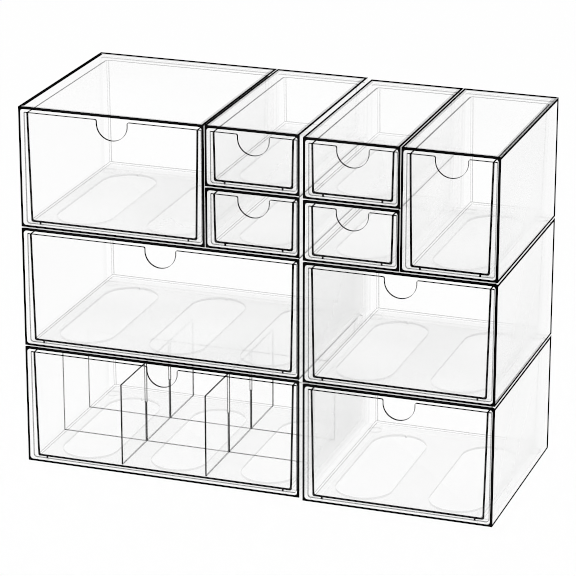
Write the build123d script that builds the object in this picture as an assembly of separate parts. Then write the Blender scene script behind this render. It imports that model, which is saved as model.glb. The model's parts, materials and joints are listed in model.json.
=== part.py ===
from build123d import *
from collections import namedtuple
from math import radians, tan
import os

# Clear stacking drawers for craft stamps, in millimetres.
# X runs along the front, Y goes back from the front, Z is up.
# The origin is under the middle of the stack, on the surface it stands on.

# ---- the stack ----
BAY = 101.0              # pitch of one bay; a module is one, two or three bays wide
MODULE_GAP = 0.6         # air between neighbours in one stack
STACK_GAP = 5.2          # air between the left stack and the right stack
RIGHT_FORWARD = 5.5      # the right stack stands this much further forward
LEFT_BAYS = 3
RIGHT_BAYS = 2
ROW = 130.0              # one full row, feet included
HALF_ROW = ROW / 2       # the small modules stack two to a row
DEPTH = 219.0            # one module, front rim to back

# ---- feet ----
FOOT_HEIGHT = 3.0
FOOT_RADIUS = 7.0
FOOT_SIDES = 16          # a foot is a disc, drawn with flats
FOOT_INSET = 12.0        # centre of a foot from the casing's sides, rim and back

# ---- casing ----
CASING_WALL = 2.4        # top and floor
CASING_SIDE = 2.0        # sides and back
CASING_EDGE = 0.8        # bevel along the outer edges
CASING_INNER_CORNER = 3.0
CUTOUT_WIDTH = 60.6      # obround hole in the floor under each bay
CUTOUT_START = 21.5      # from the front rim
CUTOUT_END = 197.5
GATE_WIDTH = 2.0         # nub left by the mould on the back arc of a cut-out
GATE_LENGTH = 2.6

# ---- drawer: front plate ----
PLATE = 2.2
PLATE_RECESS = 3.6       # behind the casing's rim
PLATE_SIDE = 4.5         # in from the casing's outer sides
PLATE_FOOT = 2.9         # above the casing's underside
PLATE_TOP = 7.0          # below the casing's top
PLATE_CORNER = 3.0
NOTCH_WIDTH = 33.2       # thumb notch
NOTCH_DEPTH = 20.8
NOTCH_MOUTH = 1.8        # rounding where the notch meets the plate's top edge

# ---- drawer: tub behind the plate ----
TUB_WALL = 1.5
TUB_FLOOR = 1.8
TUB_SIDE = 7.4           # in from the casing's outer sides, at the rim
TUB_BACK = 3.6           # in from the casing's back, at the rim
TUB_FOOT = 5.1           # above the casing's underside
DRAFT = 1.1              # degrees, the slope of the tub's sides and back
TUB_CORNER = 4.0         # upright outer corners at the back
RUNNER_SIDE = 19.5       # centre of a runner rib from the casing's outer side
RUNNER_WIDTH = 2.0

# ---- dividers in the bottom left drawer ----
DIVIDER = 1.5
DIVIDER_HEIGHT = 88.0
DIVIDER_PLAY = 0.15      # air between a divider and the tub, and in each half-lap slot

PLATE_BACK = PLATE_RECESS + PLATE
STACK_WIDTH = (LEFT_BAYS + RIGHT_BAYS) * BAY - 2 * MODULE_GAP + STACK_GAP
RIGHT_STACK = LEFT_BAYS * BAY - MODULE_GAP + STACK_GAP   # its left side, from the left stack's
RIGHT_FRONT = -(DEPTH + RIGHT_FORWARD) / 2               # front rims of the two stacks
LEFT_FRONT = RIGHT_FRONT + RIGHT_FORWARD

Module = namedtuple("Module", "name left front bottom bays pitch")


def left_stack(name, bay, bottom, bays, pitch):
    """A module of the left stack, from the bay where it starts."""
    return Module(name, bay * BAY - STACK_WIDTH / 2, LEFT_FRONT, bottom, bays, pitch)


def right_stack(name, bay, bottom, bays, pitch):
    """A module of the right stack, from the bay where it starts."""
    return Module(name, RIGHT_STACK + bay * BAY - STACK_WIDTH / 2, RIGHT_FRONT, bottom, bays, pitch)


MODULES = [
    left_stack("bottom_left", 0, 0, 3, ROW),
    right_stack("bottom_right", 0, 0, 2, ROW),
    left_stack("middle_left", 0, ROW, 3, ROW),
    right_stack("middle_right", 0, ROW, 2, ROW),
    left_stack("top_wide", 0, 2 * ROW, 2, ROW),
    left_stack("small_left_lower", 2, 2 * ROW, 1, HALF_ROW),
    left_stack("small_left_upper", 2, 2 * ROW + HALF_ROW, 1, HALF_ROW),
    right_stack("small_right_lower", 0, 2 * ROW, 1, HALF_ROW),
    right_stack("small_right_upper", 0, 2 * ROW + HALF_ROW, 1, HALF_ROW),
    right_stack("top_tall", 1, 2 * ROW, 1, ROW),
]
DIVIDED = MODULES[0]
CORNER = (Align.MIN, Align.MIN, Align.MIN)


def module_width(module):
    return module.bays * BAY - MODULE_GAP


def casing_height(module):
    return module.pitch - FOOT_HEIGHT


def place(shape, module):
    """Move a piece from its module's own corner (left, front rim, casing underside) to the stack."""
    return Pos(module.left, module.front, module.bottom + FOOT_HEIGHT) * shape


def obround(length, width, thickness):
    """An upright obround block, centred, that runs front to back."""
    return extrude(Plane.XY * SlotOverall(length, width, rotation=90), thickness / 2, both=True)


def upright_face(width, height, radius):
    """A rounded rectangle that stands in the XZ plane with its lower left corner at the origin."""
    return Pos(width / 2, 0, height / 2) * (Plane.XZ * RectangleRounded(width, height, radius))


def casing(module):
    """One-piece shell: open front, five thin walls, an obround cut-out in the floor of each bay."""
    width, height = module_width(module), casing_height(module)
    shell = Box(width, DEPTH, height, align=CORNER)
    shell = chamfer(shell.edges().filter_by(Axis.Y) + shell.faces().sort_by(Axis.Y)[-1].edges(), CASING_EDGE)
    inner = upright_face(width - 2 * CASING_SIDE, height - 2 * CASING_WALL, CASING_INNER_CORNER)
    shell -= Pos(CASING_SIDE, 0, CASING_WALL) * extrude(inner, -(DEPTH - CASING_SIDE))
    length = CUTOUT_END - CUTOUT_START
    for bay in range(module.bays):
        middle = (bay + 0.5) * width / module.bays
        cutout = obround(length, CUTOUT_WIDTH, 4 * CASING_WALL)
        gate = Pos(0, length / 2, 0) * Box(GATE_WIDTH, 2 * GATE_LENGTH, 4 * CASING_WALL)
        shell -= Pos(middle, CUTOUT_START + length / 2, 0) * (cutout - gate)
    return place(shell, module)


def feet(module):
    """Four round pads under a casing, one in each corner."""
    width = module_width(module)
    pad = extrude(RegularPolygon(FOOT_RADIUS, FOOT_SIDES), -FOOT_HEIGHT)
    pads = [
        Pos(x, y, 0) * pad
        for x in (FOOT_INSET, width - FOOT_INSET)
        for y in (FOOT_INSET, DEPTH - FOOT_INSET)
    ]
    return place(Compound(children=pads), module)


def drafted_block(module, inset, level):
    """A block behind the plate, from a level up to the rim, inset from the tub's outer faces.

    Its sides and back slope in towards the foot, and its upright corners at the back are round.
    """
    rim = casing_height(module) - PLATE_TOP
    side, back = TUB_SIDE + inset, DEPTH - TUB_BACK - inset
    width = module_width(module) - 2 * side
    block = Pos(side, PLATE_BACK, level) * Box(width, back - PLATE_BACK, rim - level, align=CORNER)
    sides = block.faces().sort_by(Axis.X)
    sloped = [sides[0], sides[-1], block.faces().sort_by(Axis.Y)[-1]]
    block = draft(sloped, Plane.XY.offset(rim), -DRAFT)
    upright = [e for e in block.edges() if level + 1 < e.center().Z < rim - 1]
    corners = ShapeList(upright).sort_by(Axis.Y)[-2:]
    return fillet(corners, TUB_CORNER - inset)


def tub(module):
    """Open box behind the plate; the plate closes its front."""
    outer = drafted_block(module, 0, TUB_FOOT)
    inner = drafted_block(module, TUB_WALL, TUB_FOOT + TUB_FLOOR)
    return outer - inner


def front_plate(module):
    """Front of a drawer, wider and deeper than the tub, with the thumb notch in its top edge."""
    width = module_width(module) - 2 * PLATE_SIDE
    height = casing_height(module) - PLATE_TOP - PLATE_FOOT
    radius = NOTCH_WIDTH / 2
    bow = Pos(width / 2, height - NOTCH_DEPTH + radius)
    outline = Pos(width / 2, height / 2) * Rectangle(width, height)
    lower = outline.vertices().sort_by(Axis.Y)[:2]
    outline = fillet(lower, PLATE_CORNER)
    outline -= bow * Circle(radius)
    outline -= bow * Pos(0, radius) * Rectangle(NOTCH_WIDTH, NOTCH_WIDTH)
    mouth = [v for v in outline.vertices() if v.Y > height - 0.1 and abs(v.X - width / 2) < radius + 0.1]
    outline = fillet(mouth, NOTCH_MOUTH)
    return Pos(PLATE_SIDE, PLATE_BACK, PLATE_FOOT) * extrude(Plane.XZ * outline, PLATE)


def runners(module):
    """Two ribs under the tub that slide on the casing's floor."""
    height = TUB_FOOT - CASING_WALL + TUB_FLOOR / 2
    back = DEPTH - TUB_BACK - 2 * TUB_CORNER
    length = back - PLATE_BACK
    rib = Box(RUNNER_WIDTH, length, height, align=(Align.CENTER, Align.MIN, Align.MIN))
    return [
        Pos(x, PLATE_BACK, CASING_WALL) * rib
        for x in (RUNNER_SIDE, module_width(module) - RUNNER_SIDE)
    ]


def drawer(module):
    """Plate, tub and runner ribs, moulded as one piece."""
    body = front_plate(module) + tub(module)
    for rib in runners(module):
        body += rib
    return place(body, module)


def divider_sheet(low, high, slope_low, slope_high, slots, from_top):
    """An upright sheet in XZ, from low to high along X, with half-lap slots cut to mid height.

    slope_low and slope_high are how far each end leans out from the foot to the top.
    """
    top = DIVIDER_HEIGHT
    outline = make_face(Polyline(
        (low, 0),
        (high, 0),
        (high + slope_high, top),
        (low - slope_low, top),
        close=True,
    ))
    for slot in slots:
        level = top * 0.75 if from_top else top * 0.25
        outline -= Pos(slot, level) * Rectangle(DIVIDER + 2 * DIVIDER_PLAY, top / 2 + 0.01)
    return extrude(Plane.XZ * outline, DIVIDER / 2, both=True)


def dividers(module):
    """Two sheets front to back and two across, crossing at thirds of the drawer's floor."""
    floor = TUB_FOOT + TUB_FLOOR
    rim = casing_height(module) - PLATE_TOP
    lean = tan(radians(DRAFT))
    side = TUB_SIDE + (rim - floor) * lean + TUB_WALL
    left, right = side, module_width(module) - side
    front, back = PLATE_BACK, DEPTH - TUB_BACK - (rim - floor) * lean - TUB_WALL
    columns = [left + (right - left) * i / 3 for i in (1, 2)]
    rows = [front + (back - front) * i / 3 for i in (1, 2)]
    leaned = DIVIDER_HEIGHT * lean
    across = divider_sheet(left + DIVIDER_PLAY, right - DIVIDER_PLAY, leaned, leaned, columns, True)
    along = divider_sheet(front + DIVIDER_PLAY, back - DIVIDER_PLAY, 0, leaned, rows, False)
    along = Rot(0, 0, 90) * along
    sheets = {
        "divider_across_front": Pos(0, rows[0], floor) * across,
        "divider_across_back": Pos(0, rows[1], floor) * across,
        "divider_along_left": Pos(columns[0], 0, floor) * along,
        "divider_along_right": Pos(columns[1], 0, floor) * along,
    }
    return {name: place(sheet, module) for name, sheet in sheets.items()}


def main():
    os.makedirs("parts", exist_ok=True)
    pieces = {}
    for module in MODULES:
        pieces[module.name + "_casing"] = casing(module)
        pieces[module.name + "_feet"] = feet(module)
        pieces[module.name + "_drawer"] = drawer(module)
    pieces.update(dividers(DIVIDED))
    for node, shape in pieces.items():
        export_step(shape, f"parts/{node}.step")


main()
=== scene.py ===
# %% [markdown]
# # Craft stamp storage drawers
# Ten clear plastic boxes stand in three rows, each a casing with an open front and a drawer that
# slides in it. The imported model holds every piece at its real size and place. This file gives the
# pieces their looks: moulded edges, round corners and the way clear plastic shows mostly at its
# edges, where a dark tone on the edge faces is painted shade. Everything is in metres, with X along
# the fronts, Y going back and Z up.

# %% Load the imported model
import json
from math import cos, pi, radians, sin, tan

import bmesh
import bpy
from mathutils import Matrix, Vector


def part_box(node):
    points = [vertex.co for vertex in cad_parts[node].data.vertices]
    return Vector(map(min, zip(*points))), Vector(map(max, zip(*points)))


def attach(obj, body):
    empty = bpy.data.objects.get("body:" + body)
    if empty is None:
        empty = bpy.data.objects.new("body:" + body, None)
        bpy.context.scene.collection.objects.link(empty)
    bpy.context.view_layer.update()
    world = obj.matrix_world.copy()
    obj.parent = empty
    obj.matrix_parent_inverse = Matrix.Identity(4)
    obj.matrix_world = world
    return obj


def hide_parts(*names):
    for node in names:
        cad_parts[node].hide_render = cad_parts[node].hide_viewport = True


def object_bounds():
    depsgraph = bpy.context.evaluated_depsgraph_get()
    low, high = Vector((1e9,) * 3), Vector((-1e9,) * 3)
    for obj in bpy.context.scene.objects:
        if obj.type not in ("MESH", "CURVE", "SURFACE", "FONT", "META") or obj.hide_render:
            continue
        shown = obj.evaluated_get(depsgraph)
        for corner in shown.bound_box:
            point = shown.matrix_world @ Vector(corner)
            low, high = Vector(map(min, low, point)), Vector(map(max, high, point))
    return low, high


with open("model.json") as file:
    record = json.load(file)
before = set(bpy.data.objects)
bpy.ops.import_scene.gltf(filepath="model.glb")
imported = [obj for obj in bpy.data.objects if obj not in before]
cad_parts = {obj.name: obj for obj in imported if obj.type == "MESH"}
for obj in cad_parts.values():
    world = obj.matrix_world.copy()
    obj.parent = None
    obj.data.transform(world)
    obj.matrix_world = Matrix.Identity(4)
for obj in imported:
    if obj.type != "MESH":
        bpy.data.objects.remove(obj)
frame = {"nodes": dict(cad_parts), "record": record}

cad_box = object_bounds()
bpy.ops.object.select_all(action="DESELECT")
scene = bpy.context.scene

# %% [markdown]
# ## Camera
# A camera far away with a long lens keeps the uprights nearly parallel, as on a catalogue picture.
# It is easiest to think of it as a distance, an azimuth and an elevation from the point it aims at:
# azimuth turns it to the right of the fronts, elevation lifts it above them.

# %% Camera
CAMERA_AZIMUTH = radians(19.34)
CAMERA_ELEVATION = radians(19.75)
CAMERA_DISTANCE = 3.212
CAMERA_AIM = Vector((-0.0007, -0.003, 0.1893))
CAMERA_REACH = 20        # nothing further away is drawn
LENS_MM = 193.1

towards_camera = Vector((
    sin(CAMERA_AZIMUTH) * cos(CAMERA_ELEVATION),
    -cos(CAMERA_AZIMUTH) * cos(CAMERA_ELEVATION),
    sin(CAMERA_ELEVATION),
))
bpy.ops.object.camera_add(
    location=CAMERA_AIM + CAMERA_DISTANCE * towards_camera,
    rotation=(pi / 2 - CAMERA_ELEVATION, 0, CAMERA_AZIMUTH),
)
camera = bpy.context.object
camera.data.lens = LENS_MM
camera.data.clip_end = CAMERA_REACH
scene.camera = camera
print("camera at", [round(v, 3) for v in camera.location])

# %% [markdown]
# ## Light and background
# Clear plastic takes its look from what stands round it. A white room on all sides leaves the flat
# walls almost unseen, and the eye reads the box from its edges. So the world is plain white, a wide
# soft lamp gives it a direction, and the floor is a pale plane that keeps a weak shadow.
# A ray passes dozens of clear walls here, so the limit on see-through surfaces is raised.

# %% World
WORLD_LIGHT = 0.96       # what the white room gives to a surface
SEE_THROUGH_LIMIT = 128
LIGHT_BOUNCES = 3

scene.view_settings.view_transform = "Standard"
scene.cycles.pixel_filter_type = "BOX"  # keeps the fine dark edges crisp
scene.cycles.transparent_max_bounces = SEE_THROUGH_LIMIT
scene.cycles.max_bounces = LIGHT_BOUNCES
scene.cycles.diffuse_bounces = 1


def link(tree, source, target):
    """Join two sockets of a node tree."""
    tree.links.new(source, target)


def math_node(tree, operation, first, second):
    """A Math node; each value is a number or a socket. Returns its output."""
    node = tree.nodes.new("ShaderNodeMath")
    node.operation = operation
    for socket, value in zip(node.inputs, (first, second)):
        if isinstance(value, (int, float)):
            socket.default_value = value
        else:
            link(tree, value, socket)
    return node.outputs[0]


def seen_directly(tree):
    """1 where the camera sees the surface straight, in a mirror or through glass, else 0."""
    path = tree.nodes.new("ShaderNodeLightPath")
    mirrored = math_node(
        tree, "MAXIMUM", path.outputs["Is Glossy Ray"], path.outputs["Is Transmission Ray"])
    return math_node(tree, "MAXIMUM", path.outputs["Is Camera Ray"], mirrored)


world = bpy.data.worlds.new("white_room")
world.use_nodes = True
scene.world = world
room = world.node_tree
background = room.nodes["Background"]
background.inputs["Color"].default_value = (1, 1, 1, 1)
extra = math_node(room, "MULTIPLY", seen_directly(room), 1 - WORLD_LIGHT)
link(room, math_node(room, "ADD", extra, WORLD_LIGHT), background.inputs["Strength"])
print("the world gives", WORLD_LIGHT, "of white to a surface")

# %% Lamp
LAMP_SIZE = 2.4
LAMP_WATTS = 10
LAMP_PLACE = Vector((-1.6, -2.2, 2.6))

bpy.ops.object.light_add(type="AREA", location=LAMP_PLACE)
lamp = bpy.context.object
lamp.data.size = LAMP_SIZE
lamp.data.energy = LAMP_WATTS
lamp.rotation_euler = (CAMERA_AIM - LAMP_PLACE).to_track_quat("-Z", "Y").to_euler()
print("a lamp of", LAMP_WATTS, "W,", LAMP_SIZE, "m wide")

# %% Floor
FLOOR_SIZE = 14.0
FLOOR_TONE = 0.95
FLOOR_WHITE = 0.9        # share of the floor that is plain white to the camera


def floor_finish():
    """A pale matt floor that stays white in the picture and keeps a weak shadow."""
    material = bpy.data.materials.new("pale_floor")
    material.use_nodes = True
    tree = material.node_tree
    matt = tree.nodes["Principled BSDF"]
    matt.inputs["Base Color"].default_value = (FLOOR_TONE, FLOOR_TONE, FLOOR_TONE, 1)
    matt.inputs["Roughness"].default_value = 0.9
    matt.inputs["Specular IOR Level"].default_value = 0.0
    white = tree.nodes.new("ShaderNodeEmission")
    mix = tree.nodes.new("ShaderNodeMixShader")
    link(tree, math_node(tree, "MULTIPLY", seen_directly(tree), FLOOR_WHITE), mix.inputs["Fac"])
    link(tree, matt.outputs["BSDF"], mix.inputs[1])
    link(tree, white.outputs["Emission"], mix.inputs[2])
    link(tree, mix.outputs["Shader"], tree.nodes["Material Output"].inputs["Surface"])
    return material


bpy.ops.mesh.primitive_plane_add(size=FLOOR_SIZE)
floor = bpy.context.object
floor.name = "floor"
floor.data.materials.append(floor_finish())
print("a floor", FLOOR_SIZE, "m wide")

# %% [markdown]
# ## Plastic and painted light
# One plastic, seen in several ways. A wall is nearly invisible face on, and the more it is seen at
# a slant, the more it mirrors the white room and veils what lies behind it; that veil is a painted
# reflection, a pale tone that only the camera sees. An open edge is where light travels inside the
# wall and leaves as a dark line; here that line is painted shade, a near-black tone on the edge
# faces. Just inside an edge the round inner corner gives a soft grey band, which is painted shade
# too, as are the greyer tones of floors and of walls between neighbours and the lines at creases.
# Real glass shaders would show all this too, but twenty clear shells in each other take very long
# to render and turn grey. So all of these looks are the same Principled shader with its own tone
# and alpha, and all share one moulding pattern, which is a node group.

# %% Moulding pattern
CLOUD_SCALE = 9.0        # clouds per metre
MARK_SCALE = 260.0       # handling marks per metre
CLOUD_SHARE = 0.7        # of the clouds in the mixture; the marks are the rest
PATTERN_LOW = 0.35       # the mixture is nearly always between these two
PATTERN_HIGH = 0.65


def moulding_group():
    """Node group: soft cloudy flow and fine handling marks, as one mask from 0 to 1."""
    group = bpy.data.node_groups.new("moulding_marks", "ShaderNodeTree")
    for scale in ("Cloud Scale", "Mark Scale"):
        group.interface.new_socket(scale, in_out="INPUT", socket_type="NodeSocketFloat")
    group.interface.new_socket("Haze", in_out="OUTPUT", socket_type="NodeSocketFloat")
    given = group.nodes.new("NodeGroupInput")
    result = group.nodes.new("NodeGroupOutput")
    place = group.nodes.new("ShaderNodeTexCoord")
    layers = []
    for scale, share in (("Cloud Scale", CLOUD_SHARE), ("Mark Scale", 1 - CLOUD_SHARE)):
        noise = group.nodes.new("ShaderNodeTexNoise")
        noise.inputs["Detail"].default_value = 0.0
        link(group, place.outputs["Object"], noise.inputs["Vector"])
        link(group, given.outputs[scale], noise.inputs["Scale"])
        layers.append(math_node(group, "MULTIPLY", noise.outputs["Fac"], share))
    spread = group.nodes.new("ShaderNodeMapRange")
    spread.inputs["From Min"].default_value = PATTERN_LOW
    spread.inputs["From Max"].default_value = PATTERN_HIGH
    link(group, math_node(group, "ADD", *layers), spread.inputs["Value"])
    link(group, spread.outputs["Result"], result.inputs["Haze"])
    return group


MOULDING = moulding_group()
print("moulding pattern of", len(MOULDING.nodes), "nodes")

# %% Plastic
TONE_A, TONE_B, TONE_OUT = 6, 7, 2  # the colour sockets of a Mix node
HAZE_ROUGHNESS = 0.1     # how much rougher the haziest spots are


def grey_between(tree, dark, pale, amount):
    """A grey between two tones, by a mask. Returns the colour socket."""
    mix = tree.nodes.new("ShaderNodeMix")
    mix.data_type = "RGBA"
    mix.inputs[TONE_A].default_value = (dark, dark, dark, 1)
    mix.inputs[TONE_B].default_value = (pale, pale, pale, 1)
    link(tree, amount, mix.inputs[0])
    return mix.outputs[TONE_OUT]


def new_plastic(name, dark, pale, roughness):
    """A Principled material with the moulding pattern in its colour and roughness.

    Returns the material, its node tree, its shader and the pattern's mask.
    """
    material = bpy.data.materials.new(name)
    material.use_nodes = True
    tree = material.node_tree
    shader = tree.nodes["Principled BSDF"]
    shader.inputs["Specular IOR Level"].default_value = 0.0
    marks = tree.nodes.new("ShaderNodeGroup")
    marks.node_tree = MOULDING
    marks.inputs["Cloud Scale"].default_value = CLOUD_SCALE
    marks.inputs["Mark Scale"].default_value = MARK_SCALE
    haze = marks.outputs["Haze"]
    link(tree, grey_between(tree, dark, pale, haze), shader.inputs["Base Color"])
    rougher = math_node(tree, "MULTIPLY", haze, HAZE_ROUGHNESS)
    link(tree, math_node(tree, "ADD", rougher, roughness), shader.inputs["Roughness"])
    return material, tree, shader, haze


# %% Clear walls
CLOUDY_DARK = 0.94       # tone of the darkest clouds, as a share of the wall's
VEIL_POWER = 5.0         # how suddenly the veil comes with the slant
MOST_VEIL = 0.8          # a wall never hides more than this share


def clear_wall(name, cloudy, veil, tone):
    """Clear sheet: faintly cloudy face on, veiled at a slant by a painted reflection of the room's
    white.

    Only a straight look gets it. Light and shadow pass the sheet freely, which keeps them clean.
    """
    # The lower tones paint shade on floors and on walls between neighbours.
    material, tree, shader, haze = new_plastic(name, tone * CLOUDY_DARK, tone, 0.3)
    # Painted reflection: the white veil grows with the slant, and only the camera sees it.
    slant = tree.nodes.new("ShaderNodeLayerWeight")
    slant.inputs["Blend"].default_value = 0.5
    steep = math_node(tree, "POWER", slant.outputs["Facing"], VEIL_POWER)
    veiled = math_node(tree, "MULTIPLY", steep, veil)
    # The mask is a half on average, so this is cloudy on average.
    clouded = math_node(tree, "MULTIPLY", math_node(tree, "ADD", haze, 1.0), cloudy / 1.5)
    seen = math_node(tree, "MINIMUM", math_node(tree, "ADD", veiled, clouded), MOST_VEIL)
    path = tree.nodes.new("ShaderNodeLightPath")
    alpha = math_node(tree, "MULTIPLY", seen, path.outputs["Is Camera Ray"])
    link(tree, alpha, shader.inputs["Alpha"])
    return material


# %% Dark edges
# An edge's near-black tone is painted shade, for the light that the edge bends away.
EDGE_DARK = 0.001        # tone of an edge where the pattern is 0, and where it is 1
EDGE_PALE = 0.006
EDGE_SHADOW = 0.2        # share of the light that an edge holds back


def dark_edge(name, outside, inside):
    """Edge of clear plastic: alpha outside where it is seen from the air, inside through the wall.

    It is dark to the eye because it bends light away, and that dark is painted here as shade, a
    near-black tone. It takes little light out of the box.
    """
    material, tree, shader, _ = new_plastic(name, EDGE_DARK, EDGE_PALE, 0.4)
    side = tree.nodes.new("ShaderNodeNewGeometry")
    change = math_node(tree, "MULTIPLY", side.outputs["Backfacing"], inside - outside)
    seen = math_node(tree, "ADD", change, outside)
    path = tree.nodes.new("ShaderNodeLightPath")
    eye = math_node(tree, "MULTIPLY", path.outputs["Is Camera Ray"], 1 - EDGE_SHADOW)
    share = math_node(tree, "ADD", eye, EDGE_SHADOW)
    link(tree, math_node(tree, "MULTIPLY", seen, share), shader.inputs["Alpha"])
    return material


# %% All looks of the plastic, with their painted light
PLASTICS_AND_PAINTED_LIGHT = [
    # name, cloudiness, veil at a slant (painted reflection), tone (lower tones are painted shade)
    clear_wall("clear_wall", 0.01, 0.65, 0.98),
    # Painted shade: floors and walls between neighbours are greyer; roof_between's strong veil is
    # painted reflection.
    clear_wall("clear_floor", 0.01, 1.6, 0.9),
    clear_wall("shaded_wall_between", 0.03, 1.0, 0.84),
    clear_wall("roof_between", 0.02, 4.0, 0.98),
    # name, alpha from outside, alpha from inside, each of a near-black tone of painted shade
    dark_edge("open_edge", 1.0, 0.9),
    dark_edge("wall_end", 1.0, 0.05),
    dark_edge("corner_shade", 0.3, 0.02),
    dark_edge("hidden_edge", 0.05, 0.03),
    dark_edge("crease_shade", 0.4, 0.05),
    dark_edge("faint_rim", 0.22, 0.22),
    dark_edge("plate_edge", 1.0, 0.85),
    dark_edge("plate_side", 0.6, 0.6),
]
WALL, FLOOR, SHADED_BETWEEN, ROOF_BETWEEN = range(4)
OPEN_EDGE, WALL_END, CORNER, HIDDEN, CREASE_SHADE, FAINT, PLATE_EDGE, PLATE_END = range(4, len(PLASTICS_AND_PAINTED_LIGHT))
print("finishes:", [material.name for material in PLASTICS_AND_PAINTED_LIGHT])

# %% [markdown]
# ## Tools for modelling
# A few helpers keep the modelling short. Each piece starts as a block or a cylinder at its size and
# place. In edit mode, faces and edges are picked by where they are and which way they look, and the
# same operators as on the menus shape them. Picking by place keeps working when a size changes.

# %% Start and end a piece
MM = 0.001


def start_block(low, high):
    """Add a cube that fills a box, and open it in edit mode with nothing selected."""
    low, high = Vector(low), Vector(high)
    bpy.ops.object.select_all(action="DESELECT")
    bpy.ops.mesh.primitive_cube_add(size=1, location=(low + high) / 2, scale=high - low)
    return open_for_editing()


def start_cylinder(centre, radius, length, sides, rotation=(0, 0, 0)):
    """Add a cylinder, and open it in edit mode with nothing selected."""
    bpy.ops.object.select_all(action="DESELECT")
    bpy.ops.mesh.primitive_cylinder_add(
        vertices=sides, radius=radius, depth=length, location=centre, rotation=rotation)
    return open_for_editing()


def open_for_editing():
    """Apply the new piece's place, give it the plastic's looks and painted light, and open it in edit
    mode.
    """
    piece = bpy.context.object
    bpy.ops.object.transform_apply(location=True, rotation=True, scale=True)
    for plastic_and_painted_light in PLASTICS_AND_PAINTED_LIGHT:
        piece.data.materials.append(plastic_and_painted_light)
    bpy.ops.object.mode_set(mode="EDIT")
    bpy.ops.mesh.select_all(action="DESELECT")
    return piece


def close_editing():
    """Leave edit mode. Returns the piece."""
    bpy.ops.object.mode_set(mode="OBJECT")
    return bpy.context.object


# %% Pick, move and paint
def pick(kind, test):
    """Select the faces, edges or vertices that pass the test, and nothing else."""
    bpy.ops.mesh.select_all(action="DESELECT")
    bpy.ops.mesh.select_mode(type=kind)
    mesh = bmesh.from_edit_mesh(bpy.context.object.data)
    for element in {"FACE": mesh.faces, "EDGE": mesh.edges, "VERT": mesh.verts}[kind]:
        element.select_set(bool(test(element)))
    bmesh.update_edit_mesh(bpy.context.object.data)


def pick_faces(test):
    """Select the faces whose centre and normal pass the test."""
    pick("FACE", lambda face: test(face.calc_center_median(), face.normal))


def pick_edges(test):
    """Select the edges whose middle and direction pass the test."""
    def passes(edge):
        start, end = (vertex.co for vertex in edge.verts)
        return test((start + end) / 2, (end - start).normalized())

    pick("EDGE", passes)


def pick_points(test):
    """Select the vertices whose place passes the test."""
    pick("VERT", lambda vertex: test(vertex.co))


def move(offset):
    """Move what is selected."""
    bpy.ops.transform.translate(value=offset)


def paint(plastic_and_painted_light):
    """Give the selected faces a look of the plastic, with its painted light."""
    bpy.context.object.active_material_index = plastic_and_painted_light
    bpy.ops.object.material_slot_assign()


# %% Cut and join pieces
ROUND_SIDES = 64         # sides of a round cutter


def cut(piece, cutter):
    """Take the cutter's volume out of the piece; the new faces keep the cutter's look and painted
    light.
    """
    bpy.ops.object.select_all(action="DESELECT")
    piece.select_set(True)
    bpy.context.view_layer.objects.active = piece
    taking = piece.modifiers.new("taking_out", "BOOLEAN")
    taking.operation = "DIFFERENCE"
    taking.solver = "EXACT"
    taking.material_mode = "INDEX"
    taking.object = cutter
    bpy.ops.object.modifier_apply(modifier=taking.name)
    bpy.data.objects.remove(cutter)


def join(pieces):
    """Join pieces into the first one."""
    bpy.ops.object.select_all(action="DESELECT")
    for piece in pieces:
        piece.select_set(True)
    bpy.context.view_layer.objects.active = pieces[0]
    bpy.ops.object.join()
    return pieces[0]


def obround_cutter(centre, radius, thickness, stretch, rotation, plastic_and_painted_light):
    """A cylinder whose far half is moved along stretch: the shape of a slot with round ends."""
    cutter = start_cylinder(centre, radius, thickness, ROUND_SIDES, rotation)
    ahead = Vector(stretch)
    pick_points(lambda at: (at - Vector(centre)).dot(ahead) > 0)
    move(ahead)
    bpy.ops.mesh.select_all(action="SELECT")
    paint(plastic_and_painted_light)
    return close_editing()


# %% [markdown]
# ## Casing
# The real casing is one injection moulding with an open front: floor, roof, two sides and a back.
# Its walls are flat, so it can be pushed out of a block: inset the front face by the wall, then
# extrude that face back. Bevels round the outer edges and the corners inside. Each outer face is
# then inset, which leaves a narrow frame of faces along its borders. Those frames lie over the
# ends of the neighbouring walls, where clear plastic looks dark, and they get a near-black tone as
# painted shade. A second inset on the roof and the floor gives the grey band of the round corner
# inside, which is painted shade too.

# %% Casing sizes
CASING_WALL = 2.4 * MM
CASING_SIDE = 2.4 * MM
CASING_EDGE = 0.4 * MM   # rounding of the outer edges
EDGE_SEGMENTS = 2
CASING_CORNER = 3.0 * MM  # rounding inside
CORNER_SEGMENTS = 4      # faces in a rounding inside
# The dark borders and the grey band below are painted shade on the faces.
ROOF_BORDER = 2.2 * MM   # dark border of roof and floor, over the side walls
ROOF_FIELD = 0.99        # the field inside that border is this much shorter
ROOF_SHIFT = 2.0 * MM    # and moved to the front, so the border is widest at the back wall
END_BORDER = 2.6 * MM    # dark border of a side, at the rim and the back wall
SIDE_BORDER = 2.4 * MM   # dark border of a side, at the roof and the floor
SIDE_FIELD = 0.995       # the same shortening of its field
SIDE_SHIFT = 2.4 * MM    # and the same move
BACK_BORDER = 1.2 * MM   # dark border of the back
CORNER_BAND = 2.6 * MM   # grey band inside a border
CUTOUT_RADIUS = 30.3 * MM
CUTOUT_START = 21.5 * MM
CUTOUT_END = 197.5 * MM
GATE_WIDTH = 2.0 * MM
GATE_LENGTH = 2.6 * MM
NEAR = 0.05 * MM         # how near counts as on a plane
FACING = 0.9             # how much of a normal along an axis counts as facing it
FLAT = 0.999             # above this, it counts as flat on it
print("casing walls of", round(CASING_WALL / MM, 1), "mm")


def along(axis, run):
    """Whether a direction runs along an axis."""
    return abs(run[axis]) > 0.99


def on(value, plane):
    """Whether a coordinate lies on a plane."""
    return abs(value - plane) < NEAR


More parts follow.
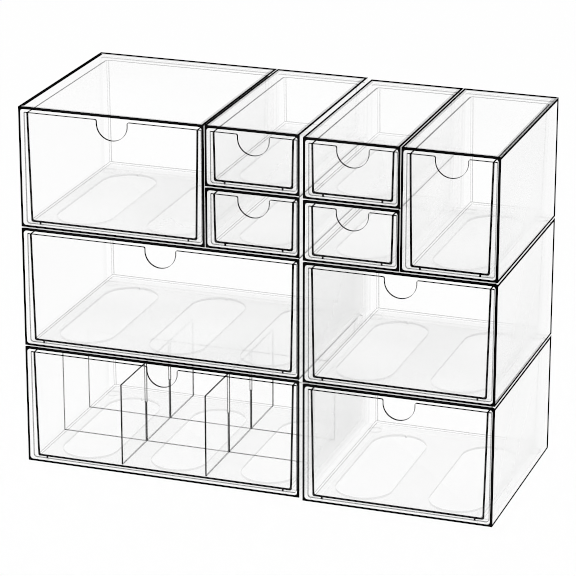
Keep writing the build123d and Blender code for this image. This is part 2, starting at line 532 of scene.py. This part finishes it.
# %% Cutter for the holes in the floor
def floor_cutter(middle):
    """Cuts one obround hole with a small gate nub at its back."""
    straight = CUTOUT_END - CUTOUT_START - 2 * CUTOUT_RADIUS
    centre = (middle, CUTOUT_START + CUTOUT_RADIUS, CASING_WALL / 2)
    cutter = obround_cutter(
        centre, CUTOUT_RADIUS, 4 * CASING_WALL, (0, straight, 0), (0, 0, 0), FAINT)
    gate = start_block(
        (middle - GATE_WIDTH / 2, CUTOUT_END - GATE_LENGTH, -2 * CASING_WALL),
        (middle + GATE_WIDTH / 2, CUTOUT_END + GATE_LENGTH, 3 * CASING_WALL),
    )
    bpy.ops.mesh.select_all(action="SELECT")
    paint(FAINT)
    close_editing()
    cut(cutter, gate)
    return cutter


# %% Model a casing
def frame_face(border, stretch, shift, band, plastic_and_painted_light):
    """Leave a border round the picked face, and give the field inside it a look of the plastic.

    The field is stretched and moved to the front. A band, if any, is a grey strip of painted shade
    round it.
    """
    bpy.ops.mesh.inset(thickness=border)
    bpy.ops.transform.resize(value=stretch)
    move((0, -shift, 0))
    if band:
        paint(CORNER)
        bpy.ops.mesh.inset(thickness=band)
    paint(plastic_and_painted_light)


def model_casing(width, depth, height, bays):
    """One casing with its front rim at y = 0 and its left underside corner at the origin."""
    casing = start_block((0, 0, 0), (width, depth, height))
    pick_faces(lambda at, normal: normal.y < -FACING)
    bpy.ops.mesh.inset(thickness=CASING_SIDE)
    flatter = (height - 2 * CASING_WALL) / (height - 2 * CASING_SIDE)
    bpy.ops.transform.resize(value=(1, 1, flatter))
    bpy.ops.mesh.extrude_region_move(
        TRANSFORM_OT_translate={"value": (0, depth - CASING_SIDE, 0)})

    def inside(at):
        margin = CASING_SIDE / 2
        return margin < at.x < width - margin and margin < at.z < height - margin

    pick_edges(lambda at, run: inside(at) and NEAR < at.y < depth - NEAR)
    bpy.ops.mesh.bevel(offset=CASING_CORNER, segments=CORNER_SEGMENTS, profile=0.5)
    pick_edges(lambda at, run: on(at.y, depth) or on(at.y, 0) and not inside(at)
               or (on(at.x, 0) or on(at.x, width)) and (on(at.z, 0) or on(at.z, height)))
    bpy.ops.mesh.bevel(offset=CASING_EDGE, segments=EDGE_SEGMENTS, profile=0.5)

    # Painted shade: every face starts dark, then the walls, floor and rim get their own tones.
    bpy.ops.mesh.select_all(action="SELECT")
    paint(WALL_END)
    pick_faces(lambda at, normal: inside(at) and NEAR < at.y < depth - NEAR)
    paint(WALL)
    pick_faces(lambda at, normal: inside(at) and at.z < height / 2 and normal.z > FACING)
    paint(FLOOR)
    pick_faces(lambda at, normal: at.y < CASING_EDGE and normal.y < -0.5)
    paint(OPEN_EDGE)
    for z, plastic_and_painted_light in ((0, FLOOR), (height, WALL)):
        pick_faces(lambda at, normal: on(at.z, z))
        frame_face(ROOF_BORDER, (1, ROOF_FIELD, 1), ROOF_SHIFT, CORNER_BAND, plastic_and_painted_light)
    taller = (height - 2 * SIDE_BORDER) / (height - 2 * END_BORDER)
    for x in (0, width):
        pick_faces(lambda at, normal: on(at.x, x))
        frame_face(END_BORDER, (1, SIDE_FIELD, taller), SIDE_SHIFT, 0, WALL)
    pick_faces(lambda at, normal: on(at.y, depth))
    bpy.ops.mesh.inset(thickness=BACK_BORDER)
    paint(WALL)

    # The rounding between roof and back shows as two lines of painted shade: its faces next to the
    # two.
    rounding = height - CASING_WALL - CASING_CORNER
    for least, most, plastic_and_painted_light in ((FACING, FLAT, PLATE_EDGE), (0.05, 0.38, PLATE_END)):
        pick_faces(lambda at, normal: inside(at) and at.y > depth / 2 and at.z > rounding
                   and least < -normal.z < most)
        paint(plastic_and_painted_light)
    close_editing()
    for bay in range(bays):
        cut(casing, floor_cutter((bay + 0.5) * width / bays))
    return casing


# %% [markdown]
# ## Drawer
# A drawer is one moulding too: a front plate with a thumb notch, a tub behind it whose walls slope
# a little so that it leaves the mould, and two ribs underneath that it slides on. The plate is a
# thin block with a notch cut out of it. The tub is a sloping block with a smaller one taken out,
# which keeps its walls the same thickness all round. The tub's walls end inside the plate, so their
# dark ends show through it as two upright lines of painted shade.

# %% Drawer sizes
PLATE = 2.2 * MM
PLATE_RECESS = 3.6 * MM
PLATE_SIDE = 4.5 * MM
PLATE_FOOT = 2.9 * MM
PLATE_TOP = 7.0 * MM
PLATE_CORNER = 3.0 * MM
PLATE_SEGMENTS = 5
# The plate line is painted shade.
PLATE_LINE = 0.3 * MM    # fine dark line round both faces of the plate
PLATE_BACK = PLATE_RECESS + PLATE
PLATE_MIDDLE = PLATE_RECESS + PLATE / 2
NOTCH_RADIUS = 16.6 * MM
NOTCH_DEPTH = 20.8 * MM
NOTCH_MOUTH = 1.8 * MM
TUB_WALL = 1.8 * MM
TUB_FLOOR = 1.8 * MM
TUB_SIDE = 7.4 * MM
TUB_BACK = 3.6 * MM
TUB_FOOT = 5.1 * MM
TUB_CORNER = 4.0 * MM
TUB_CREASE = 2.0 * MM    # rounding along the foot of the tub
TUB_END = 1.0 * MM       # how far the ends of the tub's walls reach on into the plate
TUB_MOUTH = 4.0 * MM     # how far the block taken out reaches above the rim
DRAFT = tan(radians(1.1))
RUNNER_SIDE = 19.5 * MM
RUNNER_WIDTH = 2.0 * MM
print("plate of", round(PLATE / MM, 1), "mm, tub walls of", round(TUB_WALL / MM, 1), "mm")


# %% Model the front plate
def front_plate(width, height):
    """The plate, with round lower corners and a round-mouthed thumb notch."""
    top = height - PLATE_TOP
    left, right = PLATE_SIDE, width - PLATE_SIDE
    plate = start_block((left, PLATE_RECESS, PLATE_FOOT), (right, PLATE_BACK, top))
    pick_edges(lambda at, run: along(1, run) and on(at.z, PLATE_FOOT))
    bpy.ops.mesh.bevel(offset=PLATE_CORNER, segments=PLATE_SEGMENTS)
    close_editing()
    centre = (width / 2, PLATE_MIDDLE, top - NOTCH_DEPTH + NOTCH_RADIUS)
    upwards = (0, 0, 4 * NOTCH_RADIUS)
    cut(plate, obround_cutter(
        centre, NOTCH_RADIUS, 4 * PLATE, upwards, (pi / 2, 0, 0), PLATE_EDGE))
    bpy.ops.object.mode_set(mode="EDIT")
    pick_edges(lambda at, run: along(1, run) and on(at.z, top)
               and abs(at.x - width / 2) < 2 * NOTCH_RADIUS)
    bpy.ops.mesh.bevel(offset=NOTCH_MOUTH, segments=CORNER_SEGMENTS)
    # Painted shade: the plate's narrow faces are dark, and a fine line runs round both big faces.
    bpy.ops.mesh.select_all(action="SELECT")
    paint(PLATE_EDGE)
    pick_faces(lambda at, normal: abs(normal.y) > FACING)
    bpy.ops.mesh.inset(thickness=PLATE_LINE)
    paint(WALL)
    pick_faces(lambda at, normal: at.x < left + PLATE_LINE or at.x > right - PLATE_LINE
               or at.z < PLATE_FOOT + PLATE_CORNER)
    paint(PLATE_END)
    return close_editing()


# %% Model the tub
def sloping_block(width, depth, height, inset, level, front, top, corner):
    """A block whose sides and back lean in towards the foot, with round back corners."""
    rim = height - PLATE_TOP
    side, back = TUB_SIDE + inset, depth - TUB_BACK - inset
    block = start_block((side, front, level), (width - side, back, top))
    for z in (level, top):
        lean = DRAFT * (rim - z)
        for x, way in ((side, 1), (width - side, -1)):
            pick_points(lambda at: on(at.x, x) and on(at.z, z))
            move((way * lean, 0, 0))
        pick_points(lambda at: on(at.y, back) and on(at.z, z))
        move((0, -lean, 0))
    pick_edges(lambda at, run: along(2, run) and at.y > depth / 2)
    bpy.ops.mesh.bevel(offset=corner, segments=CORNER_SEGMENTS)
    pick_edges(lambda at, run: on(at.z, level) and at.y > front + NEAR)
    bpy.ops.mesh.bevel(offset=TUB_CREASE, segments=CORNER_SEGMENTS)
    pick_faces(lambda at, normal: on(at.z, level))
    paint(FLOOR)

    # The faces at both ends of a rounding get fine lines of painted shade, the outer ones only on the
    # right.
    step = radians(90 / CORNER_SEGMENTS)
    upright = 0.1

    def first_face(part):
        """Whether a face is the first of a rounding, by that part of its normal."""
        return cos(step) < abs(part) < FLAT

    if not inset:
        pick_faces(lambda at, normal: at.x > width / 2 and at.y > depth / 2
                   and first_face(normal.x) and normal.y > upright / 2)
        paint(PLATE_END)
        pick_faces(lambda at, normal: at.x > width / 2
                   and first_face(normal.x) and normal.z < -upright)
        paint(CREASE_SHADE)
    else:
        pick_faces(lambda at, normal: first_face(normal.z) or upright < abs(normal.z) < sin(step)
                   or at.y > depth / 2 and abs(normal.z) < upright
                   and (first_face(normal.x) or first_face(normal.y)))
        paint(CREASE_SHADE)
    return block


def tub(width, depth, height):
    """Open tub; the ends of its walls lie inside the plate."""
    rim = height - PLATE_TOP
    walls = sloping_block(
        width, depth, height, 0, TUB_FOOT, PLATE_MIDDLE, rim, TUB_CORNER)
    close_editing()
    space = sloping_block(
        width, depth, height, TUB_WALL, TUB_FOOT + TUB_FLOOR, 0, rim + TUB_MOUTH,
        TUB_CORNER - TUB_WALL)
    close_editing()
    cut(walls, space)
    bpy.ops.object.mode_set(mode="EDIT")
    # Painted shade: a dark tone on the tub's rim and on the wall ends inside the plate.
    pick_faces(lambda at, normal: on(at.z, rim) and normal.z > FACING)
    paint(PLATE_EDGE)
    pick_faces(lambda at, normal: on(at.y, PLATE_MIDDLE) and normal.y < -FACING)
    bpy.ops.mesh.extrude_region_move(TRANSFORM_OT_translate={"value": (0, -TUB_END, 0)})
    pick_faces(lambda at, normal: at.y < PLATE_MIDDLE)
    paint(OPEN_EDGE)
    return close_editing()


# %% Model a drawer
def runner(x, depth):
    """One rib under the tub, with painted shade at its front end."""
    start_block(
        (x - RUNNER_WIDTH / 2, PLATE_MIDDLE, CASING_WALL),
        (x + RUNNER_WIDTH / 2, depth - TUB_BACK - 2 * TUB_CORNER, TUB_FOOT + TUB_FLOOR / 2),
    )
    pick_faces(lambda at, normal: normal.y < -FACING)
    paint(OPEN_EDGE)
    return close_editing()


def model_drawer(width, depth, height):
    """One drawer in the same place as its casing."""
    pieces = [front_plate(width, height), tub(width, depth, height)]
    pieces += [runner(x, depth) for x in (RUNNER_SIDE, width - RUNNER_SIDE)]
    return join(pieces)


# %% [markdown]
# ## Feet
# Four round pads of clear rubber lift each casing off the one below. A pad is a flat cylinder with
# a small bevel round its underside. The picture shows less air under the boxes than the packed
# model has, so every box is modelled a little taller at its foot, and its pads that much thinner.

# %% Model the feet
SINK = 1.5 * MM          # how much further down a box reaches than its solid
FOOT_HEIGHT = 3.0 * MM - SINK
FOOT_RADIUS = 7.0 * MM
FOOT_INSET = 12.0 * MM
FOOT_EDGE = 0.5 * MM
FOOT_SIDES = 32


def model_feet(width, depth):
    """Four pads under a casing, which stands with its underside at z = 0."""
    pads = []
    for x in (FOOT_INSET, width - FOOT_INSET):
        for y in (FOOT_INSET, depth - FOOT_INSET):
            start_cylinder((x, y, -FOOT_HEIGHT / 2), FOOT_RADIUS, FOOT_HEIGHT, FOOT_SIDES)
            pick_edges(lambda at, run: on(at.z, -FOOT_HEIGHT))
            bpy.ops.mesh.bevel(offset=FOOT_EDGE, segments=EDGE_SEGMENTS)
            # Painted shade: the pad's sides get a faint dark tone.
            pick_faces(lambda at, normal: abs(normal.z) < FACING)
            paint(FAINT)
            pads.append(close_editing())
    return join(pads)


# %% [markdown]
# ## Dividers
# The bottom left drawer holds four loose sheets that cross in half-lap slots. A sheet is a thin
# block. Its slots are cut, and all its narrow faces get the dark edge, which is painted shade, as
# is a fine border round its big faces.

# %% Model a divider
DIVIDER = 1.5 * MM
DIVIDER_PLAY = 0.15 * MM
DIVIDER_BORDER = 0.6 * MM
PAST_SHEET = 10 * MM     # how far the slots' cutters reach past a sheet


def model_divider(name, axis, crossings, slots_from_top):
    """One sheet along X (axis 0) or Y (axis 1), slotted where it crosses the others."""
    low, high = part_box(name)
    low.z -= SINK
    sheet = start_block(low, high)
    close_editing()
    middle = (low.z + high.z) / 2
    half = DIVIDER / 2 + DIVIDER_PLAY
    past = Vector((PAST_SHEET, PAST_SHEET, PAST_SHEET))
    for crossing in crossings:
        slot_low, slot_high = low - past, high + past
        slot_low[axis], slot_high[axis] = crossing - half, crossing + half
        if slots_from_top:
            slot_low.z = middle
        else:
            slot_high.z = middle
        start_block(slot_low, slot_high)
        cut(sheet, close_editing())
    bpy.ops.object.mode_set(mode="EDIT")
    across = 1 - axis
    pick_faces(lambda at, normal: abs(normal[across]) < 0.5)
    paint(OPEN_EDGE)
    pick_faces(lambda at, normal: abs(normal[across]) > 0.5)
    paint(PLATE_END)
    bpy.ops.mesh.inset(thickness=DIVIDER_BORDER)
    paint(WALL)
    return close_editing()


# %% [markdown]
# ## Set the pieces in place
# Ten modules come in four sizes. Each size is modelled once at the origin, and every module gets
# its own copy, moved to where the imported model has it. A copy replaces the plain solid and rides on
# the same body, so a drawer's looks slide with the drawer.

# %% Copies and what they stand for
NODES = sorted(frame["nodes"])
BODY_OF = {
    node: body for body, nodes in frame["record"]["behaviour"]["bodies"].items() for node in nodes}
MODULES = [node[:-len("_casing")] for node in NODES if node.endswith("_casing")]
SMOOTH_BELOW = radians(35)
print(len(MODULES), "modules:", MODULES)


def copy_to(pattern, name, corner):
    """A copy of a piece with its own mesh, moved to a module's corner and left there."""
    piece = pattern.copy()
    piece.data = pattern.data.copy()
    piece.name = name
    scene.collection.objects.link(piece)
    bpy.ops.object.select_all(action="DESELECT")
    piece.select_set(True)
    bpy.context.view_layer.objects.active = piece
    piece.location = corner
    bpy.ops.object.transform_apply(location=True, rotation=False, scale=False)
    bpy.ops.object.shade_smooth_by_angle(angle=SMOOTH_BELOW)
    return piece


def stand_for(piece, node):
    """Let a piece replace a node: it rides on the node's body, and the node is hidden."""
    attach(piece, BODY_OF[node])
    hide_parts(node)


# %% Borders between neighbours
BAY = 101.0 * MM


def quiet_hidden_sides(casing, low, high):
    """Make borders that face a neighbour fainter, and paint shade on walls that face one: a greyer
    tone.

    The outermost upper edges of the stack are in the open, and get a wider dark border of painted
    shade instead.
    """
    left = low.x > cad_box[0][0] + BAY / 2
    right = high.x < cad_box[1][0] - BAY / 2
    above = high.z < cad_box[1][2] - BAY / 2
    wide = high.x - low.x > 1.5 * BAY
    for face in casing.data.polygons:
        at, normal = face.center, face.normal
        if at.y < low.y + CASING_EDGE:
            continue  # the rim keeps its dark edge
        if normal.z > FACING and not above:
            if not left and at.x < low.x + ROOF_BORDER + CORNER_BAND:
                face.material_index = WALL_END
            if not right and at.x > high.x - ROOF_BORDER:
                face.material_index = PLATE_END
        beside = abs(normal.x) > FACING and (
            left and at.x < low.x + 2 * CASING_SIDE or right and at.x > high.x - 2 * CASING_SIDE)
        roof = above and abs(normal.z) > FACING and at.z > high.z - 2 * CASING_WALL
        underside = normal.z < -FACING and at.z < low.z + CASING_WALL / 2
        roof_behind_rim = roof and at.y >= low.y + 2 * CORNER_BAND
        if face.material_index in (WALL_END, CORNER) and (beside or underside or roof_behind_rim):
            face.material_index = HIDDEN
        # Painted shade: a wall that faces a neighbour gets a greyer tone.
        elif face.material_index == WALL and beside and wide:
            face.material_index = SHADED_BETWEEN
        # Painted reflection: a roof under another box gets a strong white veil.
        elif face.material_index == WALL and roof:
            face.material_index = ROOF_BETWEEN


# %% Place the modules
patterns = {}
for module in MODULES:
    low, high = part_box(module + "_casing")
    low.z -= SINK
    size = high - low
    bays = round(size.x / BAY)
    kind = (bays, round(size.z, 4))
    if kind not in patterns:
        patterns[kind] = (
            model_casing(size.x, size.y, size.z, bays),
            model_drawer(size.x, size.y, size.z),
            model_feet(size.x, size.y),
        )
        print("modelled a module of", bays, "bays,", round(size.z / MM), "mm high")
    casing, drawer, feet = patterns[kind]
    shell = copy_to(casing, module + "_clear_casing", low)
    quiet_hidden_sides(shell, low, high)
    stand_for(shell, module + "_casing")
    stand_for(copy_to(drawer, module + "_clear_drawer", low), module + "_drawer")
    stand_for(copy_to(feet, module + "_clear_feet", low), module + "_feet")

for kind in patterns.values():
    for pattern in kind:
        bpy.data.objects.remove(pattern)

# %% Place the dividers
ACROSS = ("divider_across_front", "divider_across_back")
ALONG = ("divider_along_left", "divider_along_right")


def middle_of(node, axis):
    """Where a node's middle is along an axis."""
    low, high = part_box(node)
    return (low[axis] + high[axis]) / 2


for names, axis, others, from_top in ((ACROSS, 0, ALONG, True), (ALONG, 1, ACROSS, False)):
    for name in names:
        crossings = [middle_of(other, axis) for other in others]
        sheet = model_divider(name, axis, crossings, from_top)
        sheet.name = name + "_sheet"
        stand_for(sheet, name)
        print(sheet.name, len(sheet.data.polygons), "faces")
